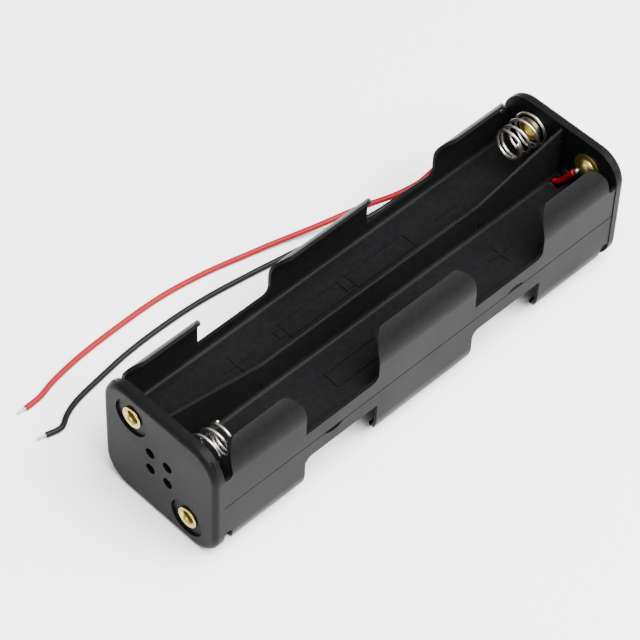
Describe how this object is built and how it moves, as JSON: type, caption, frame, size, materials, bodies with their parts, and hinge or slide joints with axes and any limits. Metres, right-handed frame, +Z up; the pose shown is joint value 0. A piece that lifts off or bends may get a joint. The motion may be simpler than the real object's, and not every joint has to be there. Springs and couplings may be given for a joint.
{
  "type": "cylindrical cell holder",
  "caption": "Double-sided open holder for cylindrical cells: trays back to back with wrap-over wings, finger windows, coil springs, rivet contacts and two loose leads.",
  "frame": {"origin": "under the centre of the holder, on the surface it lies on", "axes": "+X along the cells, from the near plate to the far plate; +Y across the channels, to the side where the leads leave; +Z up out of the upper tray"},
  "size_m": [0.1196, 0.0571, 0.0298],
  "materials": {
    "case": "satin moulded black plastic",
    "brass": "bright",
    "nickel": "nickel plated",
    "spring_wire": "nickel plated spring wire",
    "tin": "bright tin",
    "red_jacket": "smooth",
    "black_jacket": "smooth"
  },
  "bodies": {
    "holder": {"upper_tray": "case", "lower_tray": "case", "near_upper_contact": "brass", "near_lower_contact": "brass", "far_upper_contact": "brass", "far_lower_contact": "brass", "near_upper_washer": "nickel", "near_lower_washer": "nickel", "far_upper_washer": "brass", "far_lower_washer": "brass", "far_upper_eyelet": "brass", "far_lower_eyelet": "brass", "link_strip": "nickel", "red_solder": "tin", "black_solder": "tin", "red_lead_inner": "red_jacket", "black_lead_inner": "black_jacket", "red_lead": "red_jacket", "black_lead": "black_jacket", "red_lead_tip": "tin", "black_lead_tip": "tin"},
    "near_upper_spring": {"near_upper_spring": "spring_wire"},
    "near_lower_spring": {"near_lower_spring": "spring_wire"},
    "far_upper_spring": {"far_upper_spring": "spring_wire"},
    "far_lower_spring": {"far_lower_spring": "spring_wire"}
  },
  "joints": [
    {"name": "near_upper_press", "type": "slide", "parent": "holder", "child": "near_upper_spring", "axis": [-1, 0, 0], "range_m": [0, 0.004], "stiffness_N_per_m": 800, "deforming": ["near_upper_spring"]},
    {"name": "near_lower_press", "type": "slide", "parent": "holder", "child": "near_lower_spring", "axis": [-1, 0, 0], "range_m": [0, 0.004], "stiffness_N_per_m": 800, "deforming": ["near_lower_spring"]},
    {"name": "far_upper_press", "type": "slide", "parent": "holder", "child": "far_upper_spring", "axis": [1, 0, 0], "range_m": [0, 0.004], "stiffness_N_per_m": 800, "deforming": ["far_upper_spring"]},
    {"name": "far_lower_press", "type": "slide", "parent": "holder", "child": "far_lower_spring", "axis": [1, 0, 0], "range_m": [0, 0.004], "stiffness_N_per_m": 800, "deforming": ["far_lower_spring"]}
  ]
}
